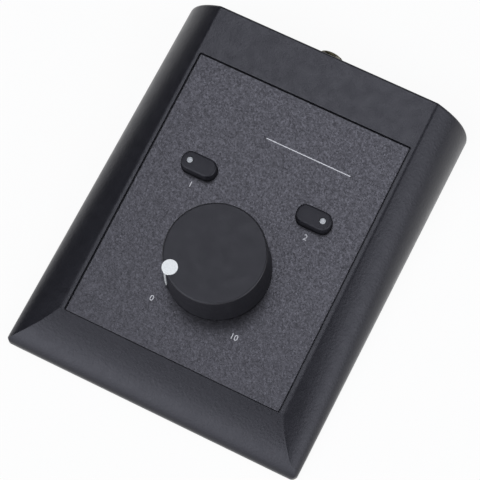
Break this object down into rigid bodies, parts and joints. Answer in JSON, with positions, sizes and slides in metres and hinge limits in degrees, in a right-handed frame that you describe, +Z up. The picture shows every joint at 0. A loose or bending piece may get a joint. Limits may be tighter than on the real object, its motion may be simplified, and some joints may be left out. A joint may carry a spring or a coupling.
{
  "type": "studio monitor controller",
  "caption": "Low wedge-shaped desktop controller for studio monitors, with a large volume knob, sprung lit buttons and a round socket in its rear wall.",
  "frame": {"origin": "on the table, under the middle of the bounding box", "axes": "+X to the user's right, +Y to the rear, +Z up"},
  "size_m": [0.124, 0.1596, 0.0396],
  "materials": {
    "housing_black": "fine moulded grain",
    "panel_paint": "speckled metallic dark grey",
    "film": "adhesive film",
    "knob_black": "soft matte",
    "pointer_white": "smooth white",
    "button_black": "soft satin",
    "lens_clear": "polished",
    "indicator_white": "moulded",
    "part_black": "moulded",
    "track_carbon": "printed",
    "board_green": "solder mask",
    "base_steel": "black coated",
    "screw_steel": "plated",
    "shaft_steel": "ground",
    "insert_brass": "turned",
    "socket_brass": "turned, dulled",
    "contact_gold": "gold plated",
    "foot_rubber": "matte"
  },
  "bodies": {
    "housing": {"upper_shell": "housing_black", "base_plate": "base_steel", "case_screws": "screw_steel", "rubber_feet": "foot_rubber", "faceplate": "panel_paint", "faceplate_film": "film", "pot_bushing": "insert_brass", "pot_body": "part_black", "pot_track": "track_carbon", "pot_pins": "contact_gold", "pot_washer": "screw_steel", "pot_nut": "screw_steel", "main_board": "board_green", "board_screws": "screw_steel", "board_header": "part_black", "header_pins": "contact_gold", "socket_shell": "socket_brass", "socket_gasket": "foot_rubber", "socket_nut": "socket_brass", "socket_insert": "part_black", "socket_contacts": "contact_gold", "socket_board": "board_green", "left_switch_body": "part_black", "right_switch_body": "part_black", "left_indicator": "indicator_white", "right_indicator": "indicator_white"},
    "knob": {"volume_knob": "knob_black", "knob_insert": "insert_brass", "knob_pointer": "pointer_white", "pot_shaft": "shaft_steel"},
    "left_key": {"left_button": "button_black", "left_button_lens": "lens_clear", "left_switch_plunger": "part_black"},
    "right_key": {"right_button": "button_black", "right_button_lens": "lens_clear", "right_switch_plunger": "part_black"}
  },
  "joints": [
    {"name": "volume_turn", "type": "hinge", "parent": "housing", "child": "knob", "pos_m": [0, -0.02082, 0.0162], "axis": [0, -0.1045, 0.9945], "range_deg": [-268.7, 1.3]},
    {"name": "left_press", "type": "slide", "parent": "housing", "child": "left_key", "axis": [0, 0.1045, -0.9945], "range_m": [0, 0.0005], "stiffness_N_per_m": 600, "springref_m": -0.0005},
    {"name": "right_press", "type": "slide", "parent": "housing", "child": "right_key", "axis": [0, 0.1045, -0.9945], "range_m": [0, 0.0005], "stiffness_N_per_m": 600, "springref_m": -0.0005}
  ]
}
